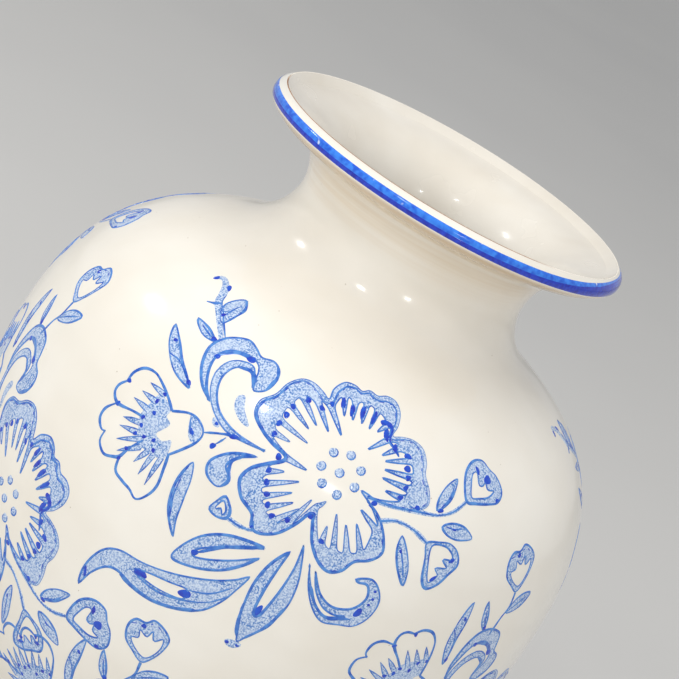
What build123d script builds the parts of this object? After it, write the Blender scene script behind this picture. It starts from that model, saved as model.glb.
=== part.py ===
"""Tin-glazed earthenware vase with a flared lip, built as a potter builds it.

The clay is thrown as a foot ring, a lower bowl, an upper bowl and a neck, which lock together with V joints.
A white glaze coats the outside, the inside and the well under the base, and breaks along the lip's crest.
A cobalt band is painted round the lip's edge, and clusters of flowers, buds and leaves round the belly.

Frame: millimetres, +Z up along the vase's axis, origin at the centre of the foot's contact plane.
"""

import os
from math import atan2, degrees

from build123d import *

# Driving dimensions
OVERALL_HEIGHT = 305.0
MOUTH_RADIUS = 80.0
NECK_RADIUS = 51.5
NECK_HEIGHT = 270.0
BELLY_RADIUS = 126.5
BELLY_HEIGHT = 150.0
FOOT_RADIUS = 63.0
FOOT_HEIGHT = 9.0
FOOT_WIDTH = 9.0
CLAY_WALL = 6.0
FLOOR_THICKNESS = 8.0
FLOOR_CORNER = 14.0
WELL_CORNER = 2.0
GLAZE = 0.4
PAINT = 0.2
PAINT_GAP = 0.03

# Lip: an upright edge that carries the band, a bevel above it, and a thin crest where the clay shows
LIP_RADIUS = MOUTH_RADIUS - GLAZE - PAINT
LIP_EDGE_BOTTOM = OVERALL_HEIGHT - 6.8
LIP_EDGE_TOP = OVERALL_HEIGHT - 3.0
LIP_CORNER = 1.0
CREST_RADIUS = MOUTH_RADIUS - 4.4
CREST_WIDTH = 0.8
BAND_INSET = 0.3

# Joints between the thrown sections
FOOT_SEAM = FOOT_HEIGHT
BELLY_SEAM = BELLY_HEIGHT
NECK_SEAM = NECK_HEIGHT - 12
NECK_SEAM_RADIUS = 55.2
TONGUE_DEPTH = 2.2
TONGUE_HALF_WIDTH = 1.5

# The glaze is wiped off the foot so that it doesn't stick to the kiln shelf
WIPED_HEIGHT = 1.5
FOOT_TAPER = 1.5

# Outside of the clay wall from the foot to the underside of the lip, as (radius, height)
WALL_STATIONS = [
    (FOOT_RADIUS - FOOT_TAPER, FOOT_HEIGHT),
    (94.5, 46.0),
    (118.0, 97.0),
    (BELLY_RADIUS - GLAZE, BELLY_HEIGHT),
    (123.6, 187.0),
    (115.8, 210.0),
    (101.4, 228.2),
    (78.2, 242.5),
    (60.2, 252.2),
    (54.0, 260.2),
    (NECK_RADIUS - GLAZE, NECK_HEIGHT),
    (53.0, 281.2),
    (59.2, 289.4),
    (75.2, 295.4),
]
WALL_START = (1.0, 0.8)
WALL_END = (1.0, 0.3)
WALL_STEPS = 24
BEVEL_SPREAD = 1.5

REACH = 2 * BELLY_RADIUS
ABOVE = OVERALL_HEIGHT + 20
WELL_RADIUS = FOOT_RADIUS - FOOT_TAPER - FOOT_WIDTH

with BuildLine() as wall_outline:
    Spline(*WALL_STATIONS, tangents=[WALL_START, WALL_END])
WALL = wall_outline.edge()


def wall_points(off):
    """Points up the wall, a distance off the outside of the clay."""
    points = []
    for step in range(WALL_STEPS + 1):
        along = WALL % (step / WALL_STEPS)
        points.append(WALL @ (step / WALL_STEPS) + Vector(along.Y, -along.X) * off)
    return points


# Half sections, drawn with the radius along X and the height along Y
def outside_section(coat=0):
    """Everything within the outside of the clay, or of a coat over it."""
    foot = (FOOT_RADIUS + coat, 0)
    wall = wall_points(coat)
    edge_bottom = (LIP_RADIUS + coat, LIP_EDGE_BOTTOM - coat / 2)
    edge_top = (LIP_RADIUS + coat, LIP_EDGE_TOP + coat / 2)
    crest = (CREST_RADIUS + CREST_WIDTH / 2 + coat * BEVEL_SPREAD, OVERALL_HEIGHT)
    with BuildSketch() as section:
        with BuildLine():
            Line(foot, wall[0])
            Spline(*wall, tangents=[WALL % 0, WALL % 1])
            FilletPolyline(wall[-1], edge_bottom, edge_top, crest, radius=LIP_CORNER + coat)
            Polyline(crest, (0, OVERALL_HEIGHT), (0, 0), foot)
        make_face()
    return section.sketch


def hollow_section(coat=0):
    """The space inside the clay, or inside a coat on it, carried on above the mouth."""
    wall = wall_points(-CLAY_WALL - coat)
    crest = (CREST_RADIUS - CREST_WIDTH / 2 - coat, OVERALL_HEIGHT)
    floor = FOOT_HEIGHT + FLOOR_THICKNESS + coat
    with BuildSketch() as section:
        with BuildLine():
            Spline(*wall, tangents=[WALL % 0, WALL % 1])
            Polyline(wall[-1], crest, (crest[0], ABOVE), (0, ABOVE), (0, wall[0].Y), wall[0])
        make_face()
        with Locations((0, floor / 2)):
            Rectangle(REACH, floor, mode=Mode.SUBTRACT)
        floor_line = section.vertices().group_by(Axis.Y)[0]
        fillet(floor_line.sort_by(Axis.X)[-1], FLOOR_CORNER - coat)
    return section.sketch


def well_section(coat=0):
    """The space inside the foot ring, or inside a coat on it, carried on below the foot."""
    with BuildSketch() as section:
        with Locations((0, -REACH)):
            Rectangle(WELL_RADIUS - coat, REACH + FOOT_HEIGHT - coat, align=Align.MIN)
        ceiling_line = section.vertices().group_by(Axis.Y)[-1]
        fillet(ceiling_line.sort_by(Axis.X)[-1], WELL_CORNER - coat)
    return section.sketch


def clay_section():
    """The whole clay body, before it's parted at the joints."""
    with BuildSketch() as section:
        add(outside_section())
        add(hollow_section(), mode=Mode.SUBTRACT)
        add(well_section(), mode=Mode.SUBTRACT)
    return section.sketch


def band_between(bottom, top):
    """A flat band on the positive side of the axis, from one height to another."""
    with BuildSketch() as section:
        with Locations((0, bottom)):
            Rectangle(REACH, top - bottom, align=Align.MIN)
    return section.sketch


def seam(height, radius):
    """The line of a V joint, from the outside to the axis, with its tongue pointing up."""
    tongue_outside = (radius + TONGUE_HALF_WIDTH, height)
    tongue_inside = (radius - TONGUE_HALF_WIDTH, height)
    return [(REACH, height), tongue_outside, (radius, height + TONGUE_DEPTH), tongue_inside, (0, height)]


def film_between(larger, smaller, bottom, top=OVERALL_HEIGHT):
    """What one half section has over another, between two heights."""
    with BuildSketch() as section:
        add(larger)
        add(smaller, mode=Mode.SUBTRACT)
        add(band_between(bottom, top), mode=Mode.INTERSECT)
    return section.sketch


CLAY = clay_section()

FOOT_JOINT = seam(FOOT_SEAM, FOOT_RADIUS - FOOT_TAPER - FOOT_WIDTH / 2)
BELLY_JOINT = seam(BELLY_SEAM, BELLY_RADIUS - GLAZE - CLAY_WALL / 2)
NECK_JOINT = seam(NECK_SEAM, NECK_SEAM_RADIUS - CLAY_WALL / 2)

# Painted clusters, in three rows of three.  Each row has its middle's distance up the wall and its turn.
# The row at the foot leaves out the motifs that would run off the wall or into the row above.
UPPER = {"middle": 222.7, "turn": 0, "azimuths": (-80, 40, 160)}
MIDDLE = {"middle": 135.0, "turn": -30, "azimuths": (-132, -12, 108)}
AT_FOOT = {"middle": 45.0, "turn": -34, "azimuths": (-74, 46, 166)}
PRISM_TOP = 4.0
PRISM_DEPTH = 34.0

# Leaves as (tail, tip, width), in millimetres right of and above the middle of the cluster's blossom
LEAVES = [
    ((-80, 27), (-64, 8), 5),
    ((-70, 40), (-66, 54), 6),
    ((-46, -18), (-43, -47), 6),
    ((-41, -57), (-12, -40), 11),
    ((41, 9), (45, 21), 5),
    ((51, 2), (64, 5), 6),
    ((-2, -40), (-7, -78), 14),
    ((37, -16), (47, -32), 6),
]
LEAVES_AT_FOOT = LEAVES[:6]
# Buds as (point, head, width)
BUDS = [((51, 14), (61, 31), 17), ((-39, -31), (-30, -29), 8), ((55, -25), (53, -6), 15)]
BUDS_AT_FOOT = BUDS[:2]
# Scroll leaves as (tail, size, turn, side they curl to)
SCROLLS = [((-49, 0), 33, 5, 1), ((7, -38), 26, -125, -1)]
WAVE_MIDDLE = (-46, -71)
WAVE_TURN = 8
FAN_POINT = (-52, -11)
FAN_TURN = 116
# Stems as runs of points
STEMS = [
    [(39, 0), (45, 3), (50, 11)],
    [(-50, -8), (-43, -8), (-38, -7)],
    [(-68, 33), (-76, 40), (-81, 50), (-88, 53)],
]
STEMS_AT_FOOT = STEMS[:2]
STEM_WIDTH = 1.8

# Blossom: petals of three lobes round a white heart, with dots round a middle one
PETALS = 5
PETAL_STEP = 360 / PETALS
PETAL_LOBES = 3
PETAL_SPREAD = 32
PETAL_REACH = 27.5
PETAL_LOBE_RADIUS = 9.5
HEART_RADIUS = 16
HEART_REACH = 17.5
HEART_LOBE_RADIUS = 10.5
DOTS = 7
DOT_REACH = 8
DOT_RADIUS = 2

# Fan flower: a border of lobes round a diamond, with a white window in each lobe
FAN_LOBES = 5
FAN_SPREAD = 96
FAN_REACH = 27
FAN_LOBE_RADIUS = 7.5
FAN_WINDOW_SPREAD = 92
FAN_WINDOW_REACH = 25
FAN_WINDOW_LENGTH = 7
FAN_WINDOW_WIDTH = 3.2
FAN_DIAMOND = [(0, 0), (18, 14), (0, 30), (-18, 14), (0, 0)]

# Lobes and open middles of the heart-shaped buds, as shares of their size
BUD_LOBE = 0.28
BUD_OPENING = 0.56
BUD_OPENING_START = 0.26


def spot(cluster, place, turn=0):
    """Plane just off the wall, as seen from outside, at a place in a cluster that is centred on +X."""
    shift = Vector(*place).rotate(Axis.Z, cluster["turn"])
    share = (cluster["middle"] + shift.Y) / WALL.length
    point, along = WALL @ share, WALL % share
    on_wall = Plane((point.X, 0, point.Y), x_dir=(0, 1, 0), z_dir=(along.Y, 0, -along.X)).offset(PRISM_TOP)
    around = Rotation(0, 0, degrees(shift.X / point.X))
    return Plane(around * on_wall.location * Rotation(0, 0, turn + cluster["turn"]))


def turn_towards(start, end):
    """How far a run is turned from straight up."""
    return degrees(atan2(end[1] - start[1], end[0] - start[0])) - 90


def leaf(length, width):
    """Pointed leaf that grows up from its tail."""
    with BuildSketch() as shape:
        with BuildLine():
            ThreePointArc((0, 0), (width / 2, length / 2), (0, length))
            ThreePointArc((0, length), (-width / 2, length / 2), (0, 0))
        make_face()
    return shape.sketch


def heart(length, width):
    """Heart that grows up from its point."""
    lobe = width * BUD_LOBE
    shoulder = length - lobe * 1.3
    with BuildSketch() as shape:
        with BuildLine():
            Polyline((0, 0), (width / 2, shoulder), (0, length - lobe), (-width / 2, shoulder), (0, 0))
        make_face()
        with Locations((width / 2 - lobe, length - lobe), (lobe - width / 2, length - lobe)):
            Circle(lobe)
    return shape.sketch


def bud(length, width):
    """Heart-shaped bud with an open middle."""
    with BuildSketch() as shape:
        add(heart(length, width))
        with Locations((0, length * BUD_OPENING_START)):
            add(heart(length * BUD_OPENING, width * BUD_OPENING), mode=Mode.SUBTRACT)
    return shape.sketch


def fan():
    """Border of the fan-shaped flower, which opens up from its point."""
    with BuildSketch() as shape:
        with PolarLocations(FAN_REACH, FAN_LOBES, 90 - FAN_SPREAD / 2, FAN_SPREAD, endpoint=True):
            Circle(FAN_LOBE_RADIUS)
        with BuildLine():
            Polyline(*FAN_DIAMOND)
        make_face()
        first_window = 90 - FAN_WINDOW_SPREAD / 2
        with PolarLocations(FAN_WINDOW_REACH, FAN_LOBES, first_window, FAN_WINDOW_SPREAD, endpoint=True):
            Ellipse(FAN_WINDOW_LENGTH, FAN_WINDOW_WIDTH, mode=Mode.SUBTRACT)
    return shape.sketch


def scroll(size, side):
    """Hooked scroll leaf that rises from its tail and curls over to one side."""
    with BuildSketch() as shape:
        with BuildLine():
            reach = side * size
            outer = Spline((0, 0), (-reach * 0.35, size * 0.6), (0, size), (reach * 0.5, size * 0.7))
            Spline(outer @ 1, (reach * 0.1, size * 0.75), (-reach * 0.08, size * 0.45), (0, 0))
        make_face()
    return shape.sketch


def wave():
    """Long wave-shaped leaf, which runs to the right from its drooping end."""
    with BuildSketch() as shape:
        with BuildLine():
            top = Spline((-30, -8), (-19, 4), (0, 4), (22, 2), (32, 10))
            Spline(top @ 1, (26, -7), (8, -10), (-10, -6), (-30, -8))
        make_face()
    return shape.sketch


def stem(points):
    """Painted line through a run of points, drawn from the first of them."""
    start = Vector(*points[0])
    with BuildSketch() as shape:
        with BuildLine():
            line = Spline(*[Vector(*point) - start for point in points])
        trace(line, STEM_WIDTH)
    return shape.sketch


def blossom():
    """Border of the five-petalled blossom, with its dots round a middle one."""
    with BuildSketch() as shape:
        for petal in range(PETALS):
            first_lobe = 90 - PETAL_SPREAD / 2 + PETAL_STEP * petal
            with PolarLocations(PETAL_REACH, PETAL_LOBES, first_lobe, PETAL_SPREAD, endpoint=True):
                Circle(PETAL_LOBE_RADIUS)
        with PolarLocations(HEART_REACH, PETALS, start_angle=90):
            Circle(HEART_LOBE_RADIUS, mode=Mode.SUBTRACT)
        Circle(HEART_RADIUS, mode=Mode.SUBTRACT)
        with PolarLocations(DOT_REACH, DOTS):
            Circle(DOT_RADIUS)
        Circle(DOT_RADIUS)
    return shape.sketch


# The film's seam is at the back of the vase, clear of the cluster that is pressed through its front
with BuildPart() as paint_film:
    with BuildSketch(Plane.XZ.rotated((0, 0, 180))):
        add(film_between(outside_section(GLAZE + PAINT), outside_section(GLAZE + PAINT_GAP), WIPED_HEIGHT))
    revolve(axis=Axis.Z)


def paint(cluster, motifs):
    """One cluster's paint: each (shape, place, turn) is pressed through the film of paint over the glaze."""
    with BuildPart() as strokes:
        for shape, place, turn in motifs:
            with BuildSketch(spot(cluster, place, turn)):
                add(shape)
            extrude(amount=-PRISM_DEPTH)
        add(paint_film.part, mode=Mode.INTERSECT)
    return strokes.part


def painted_all_round(motifs, motifs_at_foot):
    """The same motifs in every cluster, apart from the row at the foot, which has its own."""
    with BuildPart() as strokes:
        for cluster, shown in ((UPPER, motifs), (MIDDLE, motifs), (AT_FOOT, motifs_at_foot)):
            with Locations(*[Rotation(0, 0, azimuth) for azimuth in cluster["azimuths"]]):
                add(paint(cluster, shown))
    return strokes.part


def grown(shape_of, row):
    """A motif that grows from its tail to its tip, as (shape, place, turn)."""
    tail, tip, width = row
    return shape_of((Vector(*tip) - Vector(*tail)).length, width), tail, turn_towards(tail, tip)


# Clay: each section is the clay between two joints
with BuildPart() as foot_ring:
    with BuildSketch(Plane.XZ):
        with BuildLine():
            Polyline(*FOOT_JOINT, (0, 0), (REACH, 0), FOOT_JOINT[0])
        make_face()
        add(CLAY, mode=Mode.INTERSECT)
    revolve(axis=Axis.Z)

with BuildPart() as lower_body:
    with BuildSketch(Plane.XZ):
        with BuildLine():
            Polyline(*FOOT_JOINT, *reversed(BELLY_JOINT), FOOT_JOINT[0])
        make_face()
        add(CLAY, mode=Mode.INTERSECT)
    revolve(axis=Axis.Z)

with BuildPart() as upper_body:
    with BuildSketch(Plane.XZ):
        with BuildLine():
            Polyline(*BELLY_JOINT, *reversed(NECK_JOINT), BELLY_JOINT[0])
        make_face()
        add(CLAY, mode=Mode.INTERSECT)
    revolve(axis=Axis.Z)

with BuildPart() as neck_collar:
    with BuildSketch(Plane.XZ):
        with BuildLine():
            Polyline(*NECK_JOINT, (0, ABOVE), (REACH, ABOVE), NECK_JOINT[0])
        make_face()
        add(CLAY, mode=Mode.INTERSECT)
    revolve(axis=Axis.Z)

# Glaze
with BuildPart() as outer_glaze:
    with BuildSketch(Plane.XZ):
        add(film_between(outside_section(GLAZE), outside_section(), WIPED_HEIGHT))
    revolve(axis=Axis.Z)

with BuildPart() as inner_glaze:
    with BuildSketch(Plane.XZ):
        add(film_between(hollow_section(), hollow_section(GLAZE), 0))
    revolve(axis=Axis.Z)

with BuildPart() as base_glaze:
    with BuildSketch(Plane.XZ):
        add(film_between(well_section(), well_section(GLAZE), WIPED_HEIGHT))
    revolve(axis=Axis.Z)

# Paint
with BuildPart() as lip_band:
    with BuildSketch(Plane.XZ):
        painted, glazed = outside_section(GLAZE + PAINT), outside_section(GLAZE)
        add(film_between(painted, glazed, LIP_EDGE_BOTTOM + BAND_INSET, LIP_EDGE_TOP - BAND_INSET))
    revolve(axis=Axis.Z)

# Painted motifs, each kind in a node of its own
with BuildPart() as painted_blossoms:
    blossoms = [(blossom(), (0, 0), 0)]
    add(painted_all_round(blossoms, blossoms))

with BuildPart() as painted_fans:
    fans = [(fan(), FAN_POINT, FAN_TURN)]
    add(painted_all_round(fans, fans))

with BuildPart() as painted_leaves:
    leaves = [grown(leaf, row) for row in LEAVES]
    leaves_at_foot = [grown(leaf, row) for row in LEAVES_AT_FOOT]
    add(painted_all_round(leaves, leaves_at_foot))

with BuildPart() as painted_scrolls:
    curled = [(scroll(size, side), tail, turn) for tail, size, turn, side in SCROLLS]
    add(painted_all_round(curled + [(wave(), WAVE_MIDDLE, WAVE_TURN)], curled[:1]))

with BuildPart() as painted_buds:
    buds = [grown(bud, row) for row in BUDS]
    buds_at_foot = [grown(bud, row) for row in BUDS_AT_FOOT]
    add(painted_all_round(buds, buds_at_foot))

with BuildPart() as painted_stems:
    stems = [(stem(points), points[0], 0) for points in STEMS]
    stems_at_foot = [(stem(points), points[0], 0) for points in STEMS_AT_FOOT]
    add(painted_all_round(stems, stems_at_foot))

os.makedirs("parts", exist_ok=True)
for piece, name in [
    (foot_ring, "foot_ring"),
    (lower_body, "lower_body"),
    (upper_body, "upper_body"),
    (neck_collar, "neck_collar"),
    (outer_glaze, "outer_glaze"),
    (inner_glaze, "inner_glaze"),
    (base_glaze, "base_glaze"),
    (lip_band, "lip_band"),
    (painted_blossoms, "painted_blossoms"),
    (painted_fans, "painted_fans"),
    (painted_leaves, "painted_leaves"),
    (painted_scrolls, "painted_scrolls"),
    (painted_buds, "painted_buds"),
    (painted_stems, "painted_stems"),
]:
    piece.part.label = name
    export_step(piece.part, f"parts/{name}.step")
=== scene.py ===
"""Tin-glazed talavera vase.

Glazed clay, a brushed cobalt band round the lip, and clusters of painted flowers round the body.
"""

from math import atan2, cos, pi, radians, sin

import bpy
import numpy as np
from mathutils import Matrix, Vector
from mathutils.geometry import delaunay_2d_cdt


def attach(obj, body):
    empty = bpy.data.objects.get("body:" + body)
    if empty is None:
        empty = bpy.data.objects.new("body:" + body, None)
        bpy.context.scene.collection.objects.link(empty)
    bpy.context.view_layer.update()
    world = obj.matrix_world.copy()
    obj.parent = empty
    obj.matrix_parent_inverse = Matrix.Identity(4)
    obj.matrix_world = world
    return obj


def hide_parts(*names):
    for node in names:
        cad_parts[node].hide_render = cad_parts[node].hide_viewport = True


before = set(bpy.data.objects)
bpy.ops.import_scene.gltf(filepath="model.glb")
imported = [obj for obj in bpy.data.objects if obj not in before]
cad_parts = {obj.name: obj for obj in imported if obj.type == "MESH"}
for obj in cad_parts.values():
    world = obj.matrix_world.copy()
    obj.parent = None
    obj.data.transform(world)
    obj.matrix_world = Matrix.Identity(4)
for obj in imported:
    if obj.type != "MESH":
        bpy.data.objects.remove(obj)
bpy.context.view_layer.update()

MM = 0.001

# Outside of the glaze, as (radius, height) in millimetres, from the foot to the underside of the lip
WALL = np.array([
    (61.9, 9.0), (94.9, 46.0), (118.4, 97.0), (126.5, 150.0), (124.0, 187.0), (116.2, 210.0), (101.8, 228.4),
    (78.6, 242.8), (60.6, 252.5), (54.4, 260.4), (51.5, 270.0), (53.3, 281.2), (59.4, 289.2), (75.4, 295.0),
])
WALL_START = (0.78, 0.62)
WALL_END = (0.95, 0.28)
HEIGHT = 305.0
MOUTH_RADIUS = 79.8
LIP_UNDERSIDE = HEIGHT - 6.8
LIP_BEVEL = HEIGHT - 2.8
CREST_RADIUS = 76.3
CREST_WIDTH = 0.55
CREST_DROP = 0.15
FOOT_RADIUS = 63.4
FOOT_WIDTH = 9.0
FOOT_HEIGHT = 9.0
FOOT_TOP_RADIUS = FOOT_RADIUS - 1.9
FLOOR = 17.4
CLAY_WALL = 6.0
GLAZE = 0.4
SEAMS = {"foot": 9.0, "belly": 150.0, "neck": 258.0}
SEAM_RADIUS = {"foot": FOOT_TOP_RADIUS - FOOT_WIDTH / 2, "belly": 123.1, "neck": 52.4}
TONGUE_WIDTH = 3.0
TONGUE_RISE = 2.2
WELL_RADIUS = FOOT_TOP_RADIUS - FOOT_WIDTH
TURNS = 384


# -------- the wall as a curve
def spline(points, start, end, samples):
    """Smooth curve through points with set end directions, as samples along it."""
    chords = np.r_[0, np.cumsum(np.hypot(*np.diff(points, axis=0).T))]
    gaps = np.diff(chords)
    count = len(points)
    system, known = np.zeros((count, count)), np.zeros((count, 2))
    system[0, 0] = system[-1, -1] = 1
    known[0], known[-1] = start, end
    for k in range(1, count - 1):
        before, after = gaps[k - 1], gaps[k]
        system[k, k - 1:k + 2] = after, 2 * (before + after), before
        rise_before = (points[k] - points[k - 1]) / before
        rise_after = (points[k + 1] - points[k]) / after
        known[k] = 3 * (after * rise_before + before * rise_after)
    slopes = np.linalg.solve(system, known)
    places = np.linspace(0, chords[-1], samples)
    cell = np.clip(np.searchsorted(chords, places, side="right") - 1, 0, count - 2)
    width = gaps[cell][:, None]
    t = ((places - chords[cell]) / gaps[cell])[:, None]
    near, far = points[cell], points[cell + 1]
    return (
        near * (1 + 2 * t) * (1 - t) ** 2
        + far * (3 - 2 * t) * t ** 2
        + slopes[cell] * width * t * (1 - t) ** 2
        - slopes[cell + 1] * width * (1 - t) * t ** 2
    )


def travelled(run):
    """Distance along a run of points, at each of them."""
    return np.r_[0, np.cumsum(np.hypot(*np.diff(run, axis=0).T))]


WALL_CURVE = spline(WALL, WALL_START, WALL_END, 1600)
LENGTHS = travelled(WALL_CURVE)
DIRECTIONS = np.gradient(WALL_CURVE, axis=0)
DIRECTIONS /= np.hypot(*DIRECTIONS.T)[:, None]


def wall_at(along, off=0.0):
    """(radius, height) on the wall at a distance up it, moved off it outwards."""
    radius, height = (np.interp(along, LENGTHS, WALL_CURVE[:, k]) for k in (0, 1))
    outwards, upwards = (np.interp(along, LENGTHS, DIRECTIONS[:, k]) for k in (0, 1))
    return radius + upwards * off, height - outwards * off


def wobble(azimuth, height):
    """How far the thrown wall is from round, in millimetres: oval, lobed and with throwing rings."""
    oval = 0.35 * np.sin(2 * azimuth + 0.7)
    lobes = 0.2 * np.sin(3 * azimuth + height / 60)
    fine_rings = 0.05 * np.sin(height / 2.3 + 0.8 * np.sin(azimuth))
    broad_rings = 0.08 * np.sin(height / 7.1 + azimuth)
    above_foot = np.clip(height / 30, 0, 1)
    return above_foot * (oval + lobes + fine_rings + broad_rings)


def in_space(azimuth, radius, height):
    """Points in metres from cylinder coordinates; azimuth 0 is the front, and it grows to the right."""
    radius = radius + wobble(azimuth, height)
    return np.stack([radius * np.sin(azimuth), -radius * np.cos(azimuth), height + 0 * azimuth], -1) * MM


# -------- meshes
def make_piece(name, vertices, faces, material, nodes):
    """A smooth-shaded piece that rides on the vase and shows the given CAD nodes."""
    mesh = bpy.data.meshes.new(name)
    mesh.from_pydata([tuple(v) for v in vertices], [], faces)
    mesh.materials.append(material)
    mesh.polygons.foreach_set("use_smooth", [True] * len(mesh.polygons))
    mesh.update()
    piece = bpy.data.objects.new(name, mesh)
    bpy.context.scene.collection.objects.link(piece)
    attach(piece, "root")
    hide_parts(*nodes)


def rounded(points, radii, steps=5):
    """A run of points with each inner corner replaced by an arc."""
    points = [np.array(p, float) for p in points]
    run = [points[0]]
    for before, corner, after, radius in zip(points, points[1:], points[2:], radii):
        to_before, to_after = before - corner, after - corner
        reach = min(radius, 0.45 * np.hypot(*to_before), 0.45 * np.hypot(*to_after))
        start = corner + to_before / np.hypot(*to_before) * reach
        end = corner + to_after / np.hypot(*to_after) * reach
        for k in range(steps + 1):
            t = k / steps
            run.append(start * (1 - t) ** 2 + corner * 2 * t * (1 - t) + end * t ** 2)
    run.append(points[-1])
    return np.array(run)


def lathe(name, outline, material, nodes):
    """Turns a closed outline of (radius, height) about the axis into a closed solid."""
    azimuths = np.linspace(0, 2 * pi, TURNS, endpoint=False)
    on_axis = [k for k, (radius, _) in enumerate(outline) if radius < 1e-6]
    rings, vertices = [], []
    for k, (radius, height) in enumerate(outline):
        if k in on_axis:
            rings.append([len(vertices)] * TURNS)
            vertices.append((0, 0, height * MM))
        else:
            rings.append(list(range(len(vertices), len(vertices) + TURNS)))
            vertices.extend(in_space(azimuths, radius, height))
    faces = []
    for k in range(len(outline)):
        after = (k + 1) % len(outline)
        if k in on_axis and after in on_axis:
            continue
        here, there = rings[k], rings[after]
        for a in range(TURNS):
            b = (a + 1) % TURNS
            corners = dict.fromkeys((here[a], here[b], there[b], there[a]))
            faces.append(tuple(corners))
    make_piece(name, vertices, faces, material, nodes)


# -------- materials
class Nodes:
    """A material's node tree, with short ways to add and join nodes."""

    def __init__(self, name, roughness, coat=0.0):
        self.material = bpy.data.materials.new(name)
        self.material.use_nodes = True
        self.tree = self.material.node_tree
        self.shader = self.tree.nodes["Principled BSDF"]
        self.shader.inputs["Roughness"].default_value = roughness
        self.shader.inputs["Coat Weight"].default_value = coat
        self.shader.inputs["Coat Roughness"].default_value = 0.06
        self.place = self.add("ShaderNodeTexCoord").outputs["Object"]

    def add(self, kind, **settings):
        node = self.tree.nodes.new(kind)
        for name, value in settings.items():
            setattr(node, name, value)
        return node

    def join(self, source, target):
        self.tree.links.new(source, target)

    def noise(self, size_mm, detail=2.0, distortion=0.0):
        """Cloudy noise with features of about a size."""
        node = self.add("ShaderNodeTexNoise")
        node.inputs["Scale"].default_value = 1 / (size_mm * MM)
        node.inputs["Detail"].default_value = detail
        node.inputs["Distortion"].default_value = distortion
        self.join(self.place, node.inputs["Vector"])
        return node.outputs["Fac"]

    def ramp(self, source, low, high, start=0.0, end=1.0):
        """Turns a source between two levels into a value between a start and an end."""
        node = self.add("ShaderNodeMapRange")
        for name, value in (("From Min", low), ("From Max", high), ("To Min", start), ("To Max", end)):
            node.inputs[name].default_value = value
        self.join(source, node.inputs["Value"])
        return node.outputs["Result"]

    def feed(self, value, socket):
        """Gives a socket a colour, a number or another node's output."""
        if isinstance(value, tuple):
            socket.default_value = (*value, 1)
        elif isinstance(value, float):
            socket.default_value = value
        else:
            self.join(value, socket)

    def mix(self, share, first, second):
        node = self.add("ShaderNodeMix", data_type="RGBA")
        self.join(share, node.inputs["Factor"])
        self.feed(first, node.inputs["A"])
        self.feed(second, node.inputs["B"])
        return node.outputs["Result"]

    def coordinate(self, axis):
        """Place along X, Y or Z, in metres; Z starts at the foot's contact plane."""
        node = self.add("ShaderNodeSeparateXYZ")
        self.join(self.place, node.inputs["Vector"])
        return node.outputs[axis]

    def times(self, first, second):
        node = self.add("ShaderNodeMath", operation="MULTIPLY")
        self.feed(first, node.inputs[0])
        self.feed(second, node.inputs[1])
        return node.outputs["Value"]

    def bump(self, source, depth_mm):
        node = self.add("ShaderNodeBump")
        node.inputs["Distance"].default_value = depth_mm * MM
        self.join(source, node.inputs["Height"])
        self.join(node.outputs["Normal"], self.shader.inputs["Normal"])

    def finish(self, colour, roughness=None):
        self.join(colour, self.shader.inputs["Base Color"])
        if roughness:
            self.join(roughness, self.shader.inputs["Roughness"])
        return self.material


def srgb(*display):
    """A display colour, each part 11 to 255, as the linear colour a material takes."""
    return tuple(((part / 255 + 0.055) / 1.055) ** 2.4 for part in display)


IVORY = srgb(243, 239, 230)
CREAM = srgb(236, 230, 218)
# The inner glaze's colours: the ivory and cream darkened as painted shade
SHADED_IVORY = srgb(234, 229, 219)
SHADED_CREAM = srgb(222, 214, 200)
# Ivory on the crest at the back and the right: partly glaze, partly a painted highlight
CREST_GLAZE_AND_HIGHLIGHT = srgb(238, 232, 220)
# Tan and brown under the lip: partly glaze stain, partly painted shade under the overhang
TAN_STAIN_AND_SHADE = srgb(213, 190, 156)
BROWN_STAIN_AND_SHADE = srgb(186, 152, 104)
PIT_BROWN = srgb(150, 128, 100)
BUFF = srgb(176, 130, 92)
DARK_BUFF = srgb(150, 104, 70)
GROG = srgb(112, 78, 56)
BARE_SKIP = srgb(214, 224, 244)
# The tan stain and painted shade under the lip: the heights in metres where it starts, where it's full, and
# where it ends
SHADE_AND_STAIN_LOW = 0.272
SHADE_AND_STAIN_FULL = 0.2955
SHADE_AND_STAIN_TOP = 0.2985


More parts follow.
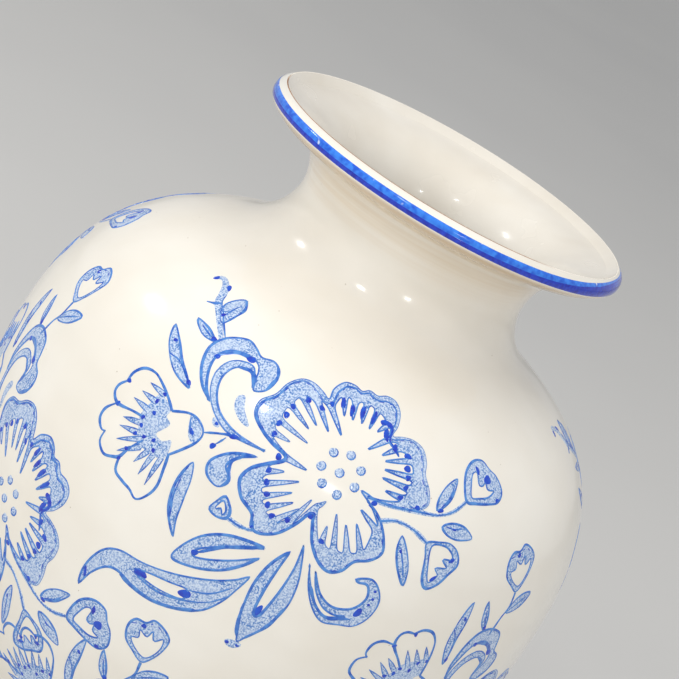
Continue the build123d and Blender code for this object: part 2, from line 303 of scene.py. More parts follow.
def white_glaze():
    """Ivory tin glaze: clouded, pinholed, and tan under the lip, partly a stain where the glaze is thin and
    partly painted shade.
    """
    n = Nodes("white_glaze", 0.16, coat=0.35)
    clouded = n.mix(n.ramp(n.noise(55, 3), 0.35, 0.7), IVORY, CREAM)
    # Tan streaks under the lip: partly a stain where the glaze thins, partly painted shade under the lip's
    # overhang
    height = n.coordinate("Z")
    under_lip = n.times(n.ramp(height, SHADE_AND_STAIN_LOW, SHADE_AND_STAIN_FULL), n.ramp(height, SHADE_AND_STAIN_TOP, 0.2965))
    streaks = n.add("ShaderNodeTexNoise")
    stretched = n.add("ShaderNodeMapping")
    stretched.inputs["Scale"].default_value = (0.25, 0.25, 12)
    n.join(n.place, stretched.inputs["Vector"])
    n.join(stretched.outputs["Vector"], streaks.inputs["Vector"])
    streaks.inputs["Scale"].default_value = 1 / (24 * MM)
    streaked = n.times(under_lip, n.ramp(streaks.outputs["Fac"], 0.3, 0.68, 0.35, 1.0))
    # The darker brown just under the band: partly brush marks, partly painted shade
    brushed = n.times(n.ramp(height, 0.2925, SHADE_AND_STAIN_FULL), n.ramp(height, SHADE_AND_STAIN_TOP, 0.2972))
    shaded = n.mix(streaked, clouded, TAN_STAIN_AND_SHADE)
    stained_and_shaded = n.mix(n.times(brushed, 0.55), shaded, BROWN_STAIN_AND_SHADE)
    holes = n.add("ShaderNodeTexVoronoi")
    holes.inputs["Scale"].default_value = 1 / (9 * MM)
    n.join(n.place, holes.inputs["Vector"])
    pinhole = n.ramp(holes.outputs["Distance"], 0.036, 0.02)
    pitted = n.mix(n.times(pinhole, 0.55), stained_and_shaded, PIT_BROWN)
    n.bump(n.noise(7, 2), 0.035)
    return n.finish(pitted, n.ramp(n.noise(20), 0.3, 0.7, 0.12, 0.24))


def inner_glaze():
    """The same glaze inside, a little duller, with its colours darkened as painted shade."""
    n = Nodes("inner_glaze", 0.22, coat=0.25)
    clouded = n.mix(n.ramp(n.noise(45, 3), 0.35, 0.7), SHADED_IVORY, SHADED_CREAM)
    n.bump(n.noise(8, 2), 0.05)
    return n.finish(clouded, n.ramp(n.noise(18), 0.3, 0.7, 0.16, 0.3))


def bare_clay():
    """Buff fired earthenware with grog specks; along the back and the right of the crest it is ivory, partly
    glaze over it and partly a painted highlight.
    """
    n = Nodes("bare_clay", 0.85)
    body = n.mix(n.ramp(n.noise(6, 4), 0.3, 0.7), BUFF, DARK_BUFF)
    specked = n.mix(n.ramp(n.noise(0.8, 1), 0.62, 0.7), body, GROG)
    # The crest's ivory at the back and the right is partly glaze and partly a painted highlight
    on_crest = n.ramp(n.coordinate("Z"), (HEIGHT - 4) * MM, (HEIGHT - 3) * MM)
    back_glaze_and_highlight = n.times(on_crest, n.ramp(n.coordinate("Y"), -0.012, 0.004))
    right_glaze_and_highlight = n.times(on_crest, n.ramp(n.coordinate("X"), 0.04, 0.052))
    glazed = n.mix(right_glaze_and_highlight, n.mix(back_glaze_and_highlight, specked, CREST_GLAZE_AND_HIGHLIGHT), CREST_GLAZE_AND_HIGHLIGHT)
    n.bump(n.noise(1.2, 3), 0.12)
    return n.finish(glazed)


def cobalt(name, pale, deep, grain_mm, grain_low, grain_high, roughness=0.15, skips=0.0):
    """Brushed cobalt: grainy where it's thin, clouded along the stroke, and with a share of bare skips."""
    n = Nodes(name, roughness, coat=0.3)
    grain = n.ramp(n.noise(grain_mm, 1), grain_low, grain_high)
    clouds = n.ramp(n.noise(6, 2, 0.6), 0.25, 0.75, 0.35, 1.25)
    colour = n.mix(n.times(grain, clouds), pale, deep)
    if skips:
        colour = n.mix(n.ramp(n.noise(5, 1), 0.72 - skips, 0.76 - skips), colour, BARE_SKIP)
    return n.finish(colour)


GLAZE_WHITE = white_glaze()
GLAZE_INSIDE = inner_glaze()
CLAY = bare_clay()
WASH = cobalt("cobalt_wash", srgb(204, 219, 239), srgb(78, 128, 198), 0.65, 0.4, 0.61)
LINE = cobalt("cobalt_line", srgb(84, 142, 214), srgb(28, 88, 190), 2.5, 0.35, 0.65)
POOL = cobalt("cobalt_pool", srgb(24, 86, 206), srgb(30, 42, 178), 2.0, 0.3, 0.7, roughness=0.1)
AZURE = cobalt("cobalt_azure", srgb(54, 134, 240), srgb(18, 88, 212), 2.2, 0.35, 0.65, skips=0.03)
VIOLET = cobalt("cobalt_violet", srgb(24, 62, 202), srgb(16, 30, 160), 1.6, 0.3, 0.7)


# -------- the pot
def inner_wall(along, coat=0.0):
    """The inside of the clay, or of a coat on it, at a distance up the wall."""
    return np.stack(wall_at(along, -GLAZE - CLAY_WALL - coat), -1)


def outer_wall(along, coat=GLAZE):
    """The outside of the clay, or of a coat on it, at a distance up the wall."""
    return np.stack(wall_at(along, coat - GLAZE), -1)


def crest_edge(side, coat):
    """Where a coat ends at the crest, outside it for side 1 and inside it for side -1."""
    return CREST_RADIUS + side * (CREST_WIDTH / 2 + coat * 0.2), HEIGHT - CREST_DROP


def lip_outside(coat=0.0):
    """The lip's underside, upright edge and bevel, from the end of the wall to the crest."""
    edge = MOUTH_RADIUS - GLAZE + coat
    corners = [
        outer_wall(LENGTHS[-1] - 0.5, coat), (edge, LIP_UNDERSIDE - coat / 2), (edge, LIP_BEVEL + coat / 2),
        crest_edge(1, coat),
    ]
    return rounded(corners, (2.2, 2.0))


def lip_inside(coat=0.0):
    """The inside of the lip, from the end of the inner wall to the crest."""
    return np.array([inner_wall(LENGTHS[-1] - 0.5, coat), crest_edge(-1, coat)])


def length_at(height):
    return np.interp(height, WALL_CURVE[:, 1], LENGTHS)


def inner_length_at(height):
    run = np.linspace(0, LENGTHS[-1], 1200)
    return np.interp(height, inner_wall(run)[:, 1], run)


def joint(seam):
    """V joint across the wall at a seam, from outside to inside, with its tongue pointing up."""
    height, radius = SEAMS[seam], SEAM_RADIUS[seam]
    half = TONGUE_WIDTH / 2
    return [(radius + half, height), (radius, height + TONGUE_RISE), (radius - half, height)]


def between(lower, upper):
    """The clay's outside and inside between two heights."""
    outside = outer_wall(np.linspace(length_at(lower), length_at(upper), 60), 0)
    start = max(lower, FLOOR + 3)
    inside = inner_wall(np.linspace(inner_length_at(start), inner_length_at(upper), 60))
    return outside, inside


def foot_clay():
    chamfer = 0.6
    foot = [
        (WELL_RADIUS, chamfer), (WELL_RADIUS + chamfer, 0), (FOOT_RADIUS - 1, 0),
        (FOOT_RADIUS - 0.4, chamfer), (FOOT_TOP_RADIUS, FOOT_HEIGHT), *joint("foot"),
        (WELL_RADIUS, FOOT_HEIGHT),
    ]
    lathe("foot_clay", foot, CLAY, ["foot_ring"])


def lower_clay():
    outside, inside = between(SEAMS["foot"], SEAMS["belly"])
    under = [(0, FOOT_HEIGHT), (WELL_RADIUS, FOOT_HEIGHT), *reversed(joint("foot"))]
    floor = [(58, FLOOR), (52, FLOOR - GLAZE), (0, FLOOR - GLAZE)]
    lower = [*under, *outside, *joint("belly"), *inside[::-1], *floor]
    lathe("lower_clay", lower, CLAY, ["lower_body"])


def upper_clay():
    outside, inside = between(SEAMS["belly"], SEAMS["neck"])
    upper = [*reversed(joint("belly")), *outside, *joint("neck"), *inside[::-1]]
    lathe("upper_clay", upper, CLAY, ["upper_body"])


def neck_clay():
    end = LENGTHS[-1] - 0.6
    outside = outer_wall(np.linspace(length_at(SEAMS["neck"]), end, 50), 0)
    inside = inner_wall(np.linspace(inner_length_at(SEAMS["neck"]), end, 50))
    half, low = CREST_WIDTH / 2, HEIGHT - 0.2
    crest = [(CREST_RADIUS + half, low), (CREST_RADIUS, HEIGHT), (CREST_RADIUS - half, low)]
    lip = [*lip_outside()[1:-1], *crest, *lip_inside()[:1]]
    collar = [*reversed(joint("neck")), *outside, *lip, *inside[::-1]]
    lathe("neck_clay", collar, CLAY, ["neck_collar"])


def outer_coat():
    """The glaze outside, which the potter wipes off the bottom of the foot."""
    wiped = 1.6
    wall = np.linspace(2.5, LENGTHS[-1] - 0.6, 200)
    foot = rounded([(FOOT_RADIUS, wiped), (FOOT_RADIUS - 1.3, FOOT_HEIGHT), outer_wall(2.4)], (3,), 6)
    front = [*foot[:-1], *outer_wall(wall), *lip_outside(GLAZE)[1:]]
    back = [*lip_outside(0)[1:][::-1], *outer_wall(wall[::4], 0)[::-1]]
    back += [(FOOT_TOP_RADIUS, FOOT_HEIGHT), (FOOT_RADIUS - 0.5, wiped + 0.1)]
    lathe("outer_coat", front + back, GLAZE_WHITE, ["outer_glaze"])


def inner_coat():
    start, floor_start = inner_length_at(30), inner_length_at(FLOOR + 1)
    wall = np.linspace(start, LENGTHS[-1] - 0.6, 160)
    corner = rounded([*inner_wall(np.array([start, floor_start]), GLAZE), (40, FLOOR)], (14,), 10)
    front = [*lip_inside(GLAZE)[::-1], *inner_wall(wall, GLAZE)[::-1], *corner[1:], (0, FLOOR)]
    underside = FLOOR - 0.35
    back = [(0, underside), (50, underside), *inner_wall(wall[::4]), *lip_inside(0)]
    lathe("inner_coat", front + back, GLAZE_INSIDE, ["inner_glaze"])


def well_coat():
    """The glaze in the well under the base."""
    side, top = WELL_RADIUS - 0.1, FOOT_HEIGHT - 0.1
    under = rounded([(side - GLAZE, 2), (side - GLAZE, top - GLAZE), (0, top - GLAZE)], (2,))[1:-1]
    coat = [(0, top), (side, top), (side, 1.6), (side - 0.35, 1.8), *under, (0, top - GLAZE)]
    lathe("well_coat", coat, GLAZE_WHITE, ["base_glaze"])


# -------- the band round the lip
# The band's lower and upper edge, as heights on the lip's upright edge
EDGE_LOW = HEIGHT - 6.4
EDGE_HIGH = HEIGHT - 1.9


def wavering(azimuths, seed, waves):
    """An uneven, repeatable wander round the rim, from sine waves."""
    return sum(np.sin(k * azimuths + seed * k) / k for k in waves)


def band_stroke(name, low, high, material, lift, waver, seed, climb):
    """A brushed ring on the lip's upright edge.

    Its edges waver as the pot turns under the brush, and its upper edge climbs toward the crest on the right.
    """
    azimuths = np.linspace(0, 2 * pi, 720, endpoint=False)
    rightward = np.exp(-(((azimuths - radians(80)) / radians(30)) ** 2))
    bottom = low + waver * wavering(azimuths, seed, (3, 7, 13, 29))
    top = high + waver * wavering(azimuths, 2 * seed, (5, 11, 23, 41)) + climb * rightward
    face = lip_outside(GLAZE)
    travel = travelled(face)
    first = np.interp(EDGE_LOW, face[:, 1], travel)
    lanes = (0, 0.08, 0.3, 0.5, 0.7, 0.92, 1)
    vertices, faces = [], []
    for lane in lanes:
        place = first + (bottom - EDGE_LOW) + (top - bottom) * lane
        raised = 0.02 if lane in (0, 1) else lift
        radius = np.interp(place, travel, face[:, 0]) + raised
        vertices.extend(in_space(azimuths, radius, np.interp(place, travel, face[:, 1])))
    count = len(azimuths)
    for here in range(0, count * (len(lanes) - 1), count):
        for k in range(count):
            n = (k + 1) % count
            faces.append((here + k, here + n, here + count + n, here + count + k))
    make_piece(name, vertices, faces, material, ["lip_band"])


# -------- painting on the wall
class Cluster:
    """Where one painted cluster lies: its blossom's azimuth and distance up the wall, and its turn.

    Motifs are drawn flat, in millimetres right of and above the cluster's origin. They are laid on the wall
    by a conic map, which keeps lengths up the wall and along the level line through the origin.
    """

    def __init__(self, azimuth, along, turn, shift, budded=False, low=False):
        self.azimuth, self.along, self.turn = radians(azimuth), along, radians(turn)
        self.shift, self.budded, self.low = np.array(shift, float), budded, low
        ahead, behind = wall_at(along + 0.5)[0], wall_at(along - 0.5)[0]
        self.spread = ahead - behind
        self.radius = wall_at(along)[0]

    def on_wall(self, points, lift):
        """Flat points as points in space, lifted off the glaze."""
        c, s = cos(self.turn), sin(self.turn)
        flat = (np.asarray(points, float) - BLOSSOM_MIDDLE) @ np.array([[c, s], [-s, c]]) + self.shift
        reach = self.radius / self.spread
        side = np.sign(reach)
        angle = np.arctan2(flat[:, 0] * side, (reach + flat[:, 1]) * side)
        along = self.along + np.hypot(flat[:, 0], reach + flat[:, 1]) * side - reach
        radius, height = wall_at(along, lift)
        return in_space(self.azimuth + angle / self.spread, radius, height)


BLOSSOM_MIDDLE = np.array([-2.0, 9.0])
# How far each layer of paint stands off the glaze, in millimetres, and where its edge and its side end
WASH_LIFT = 0.10
SPIKE_LIFT = 0.13
LINE_LIFT = 0.17
POOL_LIFT = 0.22
RIM = 0.035
SUNK = -0.04


def smooth(points, closed=False, step=0.9):
    """Catmull-Rom curve through points, resampled at an even step."""
    points = np.array(points, float)
    if closed:
        run = np.vstack([points[-1], points, points[:2]])
    else:
        run = np.vstack([2 * points[0] - points[1], points, 2 * points[-1] - points[-2]])
    t = np.linspace(0, 1, 12, endpoint=False)[:, None]
    pieces = []
    for a, b, c, d in zip(run, run[1:], run[2:], run[3:]):
        bend = (2 * a - 5 * b + 4 * c - d) * t ** 2 + (3 * b - a - 3 * c + d) * t ** 3
        pieces.append(0.5 * (2 * b + (c - a) * t + bend))
    dense = np.vstack(pieces + [points[:1] if closed else points[-1:]])
    travel = travelled(dense)
    count = max(4, int(round(travel[-1] / step)) + 1)
    even = np.linspace(0, travel[-1], count)
    resampled = np.stack([np.interp(even, travel, dense[:, k]) for k in (0, 1)], -1)
    return resampled[:-1] if closed else resampled


def signed_area(loop):
    """A closed loop's area, which is negative if it runs clockwise."""
    return np.sum(loop[:, 0] * np.roll(loop[:, 1], -1) - np.roll(loop[:, 0], -1) * loop[:, 1]) / 2


def inset(loop, distance):
    """A closed loop moved inwards by a distance, which can vary from point to point."""
    line = smooth(loop, True)
    along = np.roll(line, -1, 0) - np.roll(line, 1, 0)
    along /= np.hypot(*along.T)[:, None]
    inwards = np.stack([-along[:, 1], along[:, 0]], -1) * np.sign(signed_area(line))
    return line + inwards * np.broadcast_to(distance, len(line))[:, None]


def turns_round(places, loop):
    """How many times a closed loop winds round each place."""
    winding = np.zeros(len(places), int)
    for (x0, y0), (x1, y1) in zip(loop, np.roll(loop, -1, 0)):
        left = (x1 - x0) * (places[:, 1] - y0) - (places[:, 0] - x0) * (y1 - y0)
        winding += (y0 <= places[:, 1]) & (y1 > places[:, 1]) & (left > 0)
        winding -= ((y0 > places[:, 1]) & (y1 <= places[:, 1]) & (left < 0)).astype(int)
    return winding


def upright(triangle, flat):
    """The triangle with its corners counter-clockwise, so that it faces away from the wall."""
    a, b, c = (flat[k] for k in triangle)
    turned = (b[0] - a[0]) * (c[1] - a[1]) - (b[1] - a[1]) * (c[0] - a[0]) < 0
    return tuple(reversed(triangle)) if turned else tuple(triangle)


class Layer:
    """Vertices and faces of one colour of one cluster."""

    def __init__(self, cluster):
        self.cluster, self.vertices, self.faces = cluster, [], []

    def add(self, flat, lifts, faces):
        start = len(self.vertices)
        self.vertices.extend(self.cluster.on_wall(flat, lifts))
        self.faces.extend(tuple(start + k for k in face) for face in faces)

    def area(self, outline, holes=(), lift=WASH_LIFT, spacing=2.0, step=0.9):
        """A filled shape with holes, whose thin rim has a side that runs down into the glaze."""
        loops = [smooth(loop, True, step) for loop in (outline, *holes)]
        edge = np.vstack(loops)
        low, high = edge.min(0), edge.max(0)
        columns, rows = (np.arange(low[k] + spacing / 2, high[k], spacing) for k in (0, 1))
        grid = np.stack(np.meshgrid(columns, rows), -1).reshape(-1, 2)
        gaps = np.hypot(*(grid[:, None] - edge[None]).transpose(2, 0, 1)).min(1)
        inner = grid[gaps > 0.45 * spacing]
        pairs, start = [], 0
        for loop in loops:
            pairs += [(start + k, start + (k + 1) % len(loop)) for k in range(len(loop))]
            start += len(loop)
        given = np.vstack([edge, inner])
        points, _, triangles, origin, _, _ = delaunay_2d_cdt([Vector(p) for p in given], pairs, [], 1, 1e-4)
        on_edge = [any(k < len(edge) for k in sources) or not sources for sources in origin]
        flat = np.array([tuple(p) for p in points])
        middles = flat[np.array(triangles)].mean(1)
        wanted = turns_round(middles, loops[0]) != 0
        for hole in loops[1:]:
            wanted &= turns_round(middles, hole) == 0
        faces = [upright(triangle, flat) for triangle, keep in zip(triangles, wanted) if keep]
        self.add(flat, np.where(on_edge, RIM, lift), faces)
        for loop in loops:
            self.skirt(loop, loop is not loops[0])

    def skirt(self, loop, round_hole):
        """The film's side round a loop, from its rim down into the glaze."""
        count = len(loop)
        if (signed_area(loop) < 0) != round_hole:
            loop = loop[::-1]
        faces = [(k, k + count, (k + 1) % count + count, (k + 1) % count) for k in range(count)]
        self.add(np.vstack([loop, loop]), np.repeat([RIM, SUNK], count), faces)

    def stroke(self, points, width, lift=LINE_LIFT, closed=False, ends=(0.35, 0.35), press=0.18, step=0.9):
        """A brushed line: its width swells and shrinks with the hand's pressure and tapers at its ends."""
        line = smooth(points, closed, step)
        count = len(line)
        along = np.gradient(line, axis=0)
        if closed:
            along = np.roll(line, -1, 0) - np.roll(line, 1, 0)
        along /= np.maximum(np.hypot(*along.T), 1e-9)[:, None]
        across = np.stack([-along[:, 1], along[:, 0]], -1)
        t = np.arange(count) / max(count - 1, 1)
        pressure = 1 + press * np.sin(7 * t + line[0, 0]) + press / 2 * np.sin(17 * t + line[0, 1])
        if not closed:
            start, end = ends
            taper = 3.0 / max(count, 6)
            pressure *= np.clip(start + (1 - start) * t / taper, 0, 1)
            pressure *= np.clip(end + (1 - end) * (1 - t) / taper, 0, 1)
        half = width / 2 * pressure
        lanes = (-1, -0.5, 0.5, 1)
        flat = np.concatenate([line + across * (half * lane)[:, None] for lane in lanes])
        lifts = np.concatenate([np.full(count, SUNK if abs(lane) == 1 else lift) for lane in lanes])
        faces = []
        for k in range(count if closed else count - 1):
            n = (k + 1) % count
            for lane in range(len(lanes) - 1):
                a, b = lane * count, (lane + 1) * count
                faces.append((a + k, a + n, b + n, b + k))
        self.add(flat, lifts, faces)

    def dashes(self, points, width, closed=False, mark=5, gap=3, lift=POOL_LIFT):
        """A broken line, in marks of uneven length."""
        line, start = smooth(points, closed, 0.6), 0
        while start + mark < len(line):
            end = start + mark + int(2 * sin(start * 1.3))
            self.stroke(line[start:end:2], width, lift, ends=(0.5, 0.3))
            start = end + gap + int(1.5 * sin(start * 2.1))

    def drop(self, middle, length, width, angle=0, lift=POOL_LIFT):
        """A pool of colour, domed, long along its angle."""
        ring = np.linspace(0, 2 * pi, 14, endpoint=False)
        c, s = cos(radians(angle)), sin(radians(angle))
        flat, lifts = [np.zeros(2)], [lift]
        for share, height in ((0.6, lift * 0.9), (1.0, SUNK)):
            uneven = 1 + 0.08 * np.sin(3 * ring + middle[0])
            x = length / 2 * share * np.cos(ring) * uneven
            y = width / 2 * share * np.sin(ring) * uneven
            flat.extend(np.stack([x * c - y * s, x * s + y * c], -1))
            lifts.extend([height] * len(ring))
        faces = []
        for k in range(len(ring)):
            n = (k + 1) % len(ring)
            faces.append((0, 1 + k, 1 + n))
            faces.append((1 + k, 1 + len(ring) + k, 1 + len(ring) + n, 1 + n))
        self.add(np.array(flat) + np.array(middle), lifts, faces)

    def drops(self, pools):
        for middle, length, width, angle in pools:
            self.drop(middle, length, width, angle)


# -------- motifs, in millimetres on the flat cluster
BLOSSOM_EDGE = [
    (-17, 33), (-17, 38), (-14, 43), (-9.5, 44), (-6, 43), (-3, 45), (1, 44.5), (5, 46.5), (9.5, 46),
    (12.5, 42), (13, 36), (12, 31.5), (16, 33), (21, 34), (26, 32.5), (29, 28), (30, 23.5), (33.5, 19),
    (35.5, 14), (33, 10.5), (27, 7.8), (20, 6.3), (12, 5.6), (17, 3), (21, 0), (25, -5), (27, -10),
    (24, -14.5), (19, -17.5), (16.5, -22.5), (12, -25.2), (6.5, -23.5), (1, -18.5), (-2.5, -12),
    (-4.2, -8.5), (-7.5, -15), (-12, -21), (-18, -24), (-22, -23), (-24, -18.5), (-30, -15), (-33.5, -9),
    (-31.5, -3.5), (-27, 0.5), (-22, 5), (-29, 7.5), (-35, 10.5), (-39.5, 14.5), (-40, 20), (-36, 25),
    (-34, 31), (-30, 35.5), (-25, 36.3), (-20, 34.5),
]
HEART = (0, 9)
# Painted teeth as (root, tip)
TEETH = [
    ((11, 29.5), (4.5, 22)), ((16, 28), (10.5, 22.5)), ((22, 25.5), (12.5, 21)), ((24.5, 20), (13.5, 18)),
    ((24.5, 15.5), (14, 14.8)), ((23.8, 11.2), (17, 11)), ((-14.5, 30), (-7, 22)), ((-20, 29.5), (-12, 21)),
    ((-26, 28.5), (-17, 21)), ((-28.5, 23.5), (-19, 18.5)), ((-29.5, 16.5), (-17, 13.5)),
    ((-29.5, 11.5), (-23, 11)), ((-25.5, -2), (-20, 0.5)), ((-24.5, -6.5), (-13.5, -0.3)),
    ((-22.5, -10.5), (-14, -5)), ((-20, -14), (-12, -8)), ((-15, -16.5), (-9, -9)),
    ((-10, -14.5), (-6.5, -4)), ((-3.8, -6), (-1.5, -2.3)), ((4, -16), (3, -10)), ((9, -16), (4, -4.5)),
    ((14, -15), (9, -6.5)), ((18.5, -12.5), (12.5, -4.5)), ((19.5, -3), (11.5, 0.8)),
    ((-11.5, 36.5), (-9, 29.5)), ((-6.8, 36.5), (-5.3, 29.5)), ((-2.2, 38), (-1.5, 30)),
    ((2.8, 37.5), (2, 29.5)), ((8.5, 34.5), (5.5, 30)), ((-21.5, 5.2), (-13, 4.6)), ((14, 5.4), (8.5, 7)),
]
# Pools at the teeth's roots: plain places, and places with a length, a width and an angle
SIDE_DROPS = [
    (23.5, 19.3), (24, 15.3), (23.5, 11.2), (-24, 28.6), (-28, 23.6), (-28.7, 19.5), (-29.7, 15.5),
    (-29.5, 11), (-24.3, 4.4), (-25.3, -1.6), (-24, -5.8), (-22, -9.6), (-20, -13), (-16.8, -15.9),
    (-11, -14.6), (-4, -9.5), (3.8, -16), (15, 5.2), (31.5, 10.8), (-15.2, 31.7),
]
DEEP_DROPS = [
    ((-11.2, 34.3), 5.4, 2.3, 105), ((-6.9, 33.4), 6, 2.2, 100), ((-2.6, 34.6), 7, 2.4, 95),
    ((2.4, 34.6), 7.5, 2.3, 88), ((7.5, 35), 5, 2.6, 20), ((9.5, 30.5), 6.5, 2.6, 110),
    ((14.5, 27.4), 3.4, 2.6, 100), ((20.6, 26.8), 3.8, 2.6, 0), ((22, 22.3), 3.2, 2.8, 0),
    ((-18, 28.2), 3.2, 2.2, -25),
]
EYES = [(-1.8, 9.2), (-7, 15), (-0.6, 17), (5.2, 13.5), (5.5, 7), (0.8, 1.7), (-6, 3), (-9, 8.5)]

FAN_EDGES = [
    [(-67.5, 2), (-71.5, 6), (-76, 9.5), (-80.5, 12), (-85.5, 12), (-89, 9), (-90, 5)],
    [(-89.3, 5.5), (-92.5, 2.5), (-92.8, -1), (-89.5, -4), (-82, -4.2), (-76, -4.6)],
    [(-90, -4), (-94, -7.5), (-94.8, -11.5), (-92.5, -15), (-90, -15.5)],
    [(-90.3, -15), (-91, -19.5), (-87.5, -23.2), (-83, -22.8), (-80, -21.5), (-77.5, -17.5), (-73, -12)],
    [(-80.2, -22), (-79.5, -27), (-75, -29.5), (-71, -31), (-67, -33.3), (-63, -30), (-60.8, -25),
     (-61, -18), (-61.5, -12.5)],
]
FAN_BED = [
    (-68, 1.8), (-72, 5), (-75, 5.5), (-77, 1), (-78.5, -5), (-76.5, -10), (-74, -14), (-69, -15.5),
    (-62.5, -15), (-62.5, -8), (-66, -9.5), (-69.3, -8), (-67, -5), (-65.8, -2.5), (-68.5, -0.5),
]
FAN_TEETH = [
    ((-73, 6), (-80.5, 8)), ((-75, 2.5), (-82, 4)), ((-76, -1.5), (-84, 0.5)), ((-77.5, -7), (-85, -7.6)),
    ((-76, -10.5), (-85, -11)), ((-73.5, -12), (-84, -16)), ((-73, -15), (-82, -20)),
    ((-69.5, -15), (-73.5, -21)), ((-67, -15.5), (-69.8, -24.5)), ((-63.5, -15), (-65.8, -27)),
]
FAN_DROPS = [
    (-73, 6.4), (-74.6, 2.8), (-73.5, -1.5), (-77, -4.6), (-76.3, -7.6), (-77.4, -11.2), (-73.4, -11),
    (-78.3, -17.8), (-69.2, -10.6), (-67.7, -14), (-80.2, -22.2), (-89.5, -4), (-89.3, 5.4),
]
CUP = [(-67.5, 2), (-61, 4), (-56.5, 3.2), (-53, 0), (-53.5, -4), (-57, -8.5), (-61.5, -13)]
CUP_WASH = [(-59.5, 3.5), (-55.5, 2.5), (-53.4, -1), (-54.5, -5), (-57, -4), (-59, -0.5)]

# Scroll leaves and their white inner lines
HOOK = [
    (-56, 11), (-62, 15), (-66.5, 22), (-68, 30), (-65.5, 35.5), (-61, 38.8), (-56, 40.3), (-51.5, 38.3),
    (-48, 36), (-43, 36.8), (-39, 34), (-38, 29), (-39.8, 24), (-44, 21.8), (-45.3, 25), (-47, 31),
    (-51, 33.5), (-56, 33.3), (-60.5, 31), (-63, 27), (-62.3, 21), (-59.5, 15),
]
HOOK_INSIDE = [
    (-44.5, 23.5), (-47, 27.5), (-51, 28.5), (-55, 26), (-56.6, 20.5), (-54.5, 14), (-49.5, 8.7),
    (-41, 5.3), (-29, 3.9), (-42, 3.2), (-48.5, 5), (-54.5, 9.5), (-58.8, 15.5), (-60.3, 22), (-58.3, 28),
    (-53.5, 31), (-48, 30.5),
]
WAVE = [
    (-79.5, -74.5), (-80, -68.5), (-77, -61.5), (-72, -56), (-65, -53.7), (-55, -54), (-45, -53),
    (-35, -50.8), (-25, -47.3), (-18, -43.5), (-13, -39.8), (-15.5, -48), (-18.5, -54.5), (-24, -61),
    (-33, -64.8), (-45, -66.6), (-55, -65), (-63, -62.3), (-69, -63), (-75, -68),
]
WAVE_SLOT = [(-57, -58), (-50, -56.8), (-41, -56.3), (-33, -55.8), (-33, -60), (-41, -61), (-50, -60.3)]
BLADES = [
    (-44.5, -47.3), (-42, -40), (-35.5, -33), (-26, -28.8), (-13, -27.5), (-21, -31.3), (-30, -36),
    (-36, -40), (-36.5, -42.5), (-30, -40.8), (-21.5, -36.8), (-13, -31.7), (-18, -38.5), (-25, -43.8),
    (-34.5, -47),
]
HANGING = [
    (-4.5, -24.5), (-9, -32), (-11, -42), (-10, -53), (-7.3, -61), (-5, -66), (-1.8, -62), (3, -54.5),
    (5.5, -45), (4.8, -35.5), (2, -27), (-1.4, -19.7), (-0.3, -30), (-0.8, -41), (-2.6, -51.5), (-5, -51.5),
    (-5.6, -42), (-5, -32),
]
CURL = [
    (4, -25), (8, -33.5), (14, -40.3), (20.5, -43.6), (27.5, -41.8), (33.5, -39.5), (37, -34), (37, -27),
    (33.3, -22), (28.5, -20), (22.8, -22.6), (24.5, -23.8), (28.5, -23.3), (30.8, -28), (28, -33.5),
    (21, -36), (14, -33.5), (7.5, -26.5), (11, -33), (17, -38), (23, -39.2), (28, -37.6), (22, -41),
    (14.5, -38), (8.5, -31.5),
]
CRESCENT = [
    (-31, 0.8), (-36.5, -0.3), (-42, -3), (-46.3, -8), (-45.3, -13), (-40, -15.6), (-36.3, -13),
    (-36.8, -10), (-39.6, -7), (-37.3, -3),
]
SMALL_BEAN = [(-48, 17.5), (-45.5, 18.8), (-43.5, 14.5), (-39, 9.3), (-42.5, 9.5), (-47, 13)]

# Plain leaves, each as an outline, its dark lines, and its drops
LEAVES = [
    ([(-85.3, 32.8), (-84.3, 27), (-80.5, 21), (-74, 15), (-65.5, 11.8), (-68, 15.5), (-74, 21), (-79, 27)],
     [[(-80, 21), (-75, 20), (-70, 16.5), (-66, 13.2)]],
     [((-81, 26.6), 2.6, 1.8, 0), ((-67, 14), 3, 1.8, -40)]),
    ([(-79.5, 39.2), (-77.5, 36), (-72.5, 32.8), (-66.5, 32.6), (-69, 35), (-74, 37.8)],
     [[(-76, 37), (-70.5, 34.3), (-66.5, 33)]], [((-68.3, 33.6), 3.4, 2.4, -20)]),
    ([(-71, 41.5), (-74.3, 46), (-75, 51), (-72.3, 55.6), (-69.3, 57), (-66.8, 53), (-67, 47.5), (-69, 42)],
     [[(-69.5, 41), (-67.5, 47), (-66.3, 52), (-69, 57)], [(-71.5, 45), (-70, 50.5), (-69, 53)]],
     [((-72, 45), 2.8, 2.2, 60)]),
    ([(-51.5, -11), (-54.5, -17), (-55, -24.5), (-53, -32), (-47, -40), (-48.3, -33), (-48.8, -25),
      (-49.3, -17)],
     [[(-52.3, -13), (-54, -19), (-54, -26), (-51.5, -33.5)], [(-53.3, -18), (-53.2, -26), (-51.3, -33)]],
     []),
    ([(39.5, 13.3), (38.4, 18.5), (40.5, 24.5), (44.5, 28.4), (44.5, 21), (42.3, 15.5)],
     [[(41, 15), (43.3, 20), (43.6, 25)]], [((41.2, 14), 3, 2, 30)]),
    ([(44.3, 8.8), (48, 12), (54.5, 12.9), (59.8, 10.2), (54, 7), (48.5, 6.6)],
     [[(46, 9.6), (50, 10.1), (54, 12)]], [((50, 10), 2.8, 1.2, 5)]),
    ([(30.5, -0.5), (31, -6), (35, -12.3), (41.5, -17.5), (40, -11), (35.3, -4.5)],
     [[(32.5, -5), (36, -9.5), (40, -15)]], [((33, -6.2), 1.8, 1.1, -55)]),
]
# The leaf that grows from the curled sprig, and how many leaves fit above the foot in a low cluster
SPRIG_LEAF = 2
LOW_LEAVES = 6
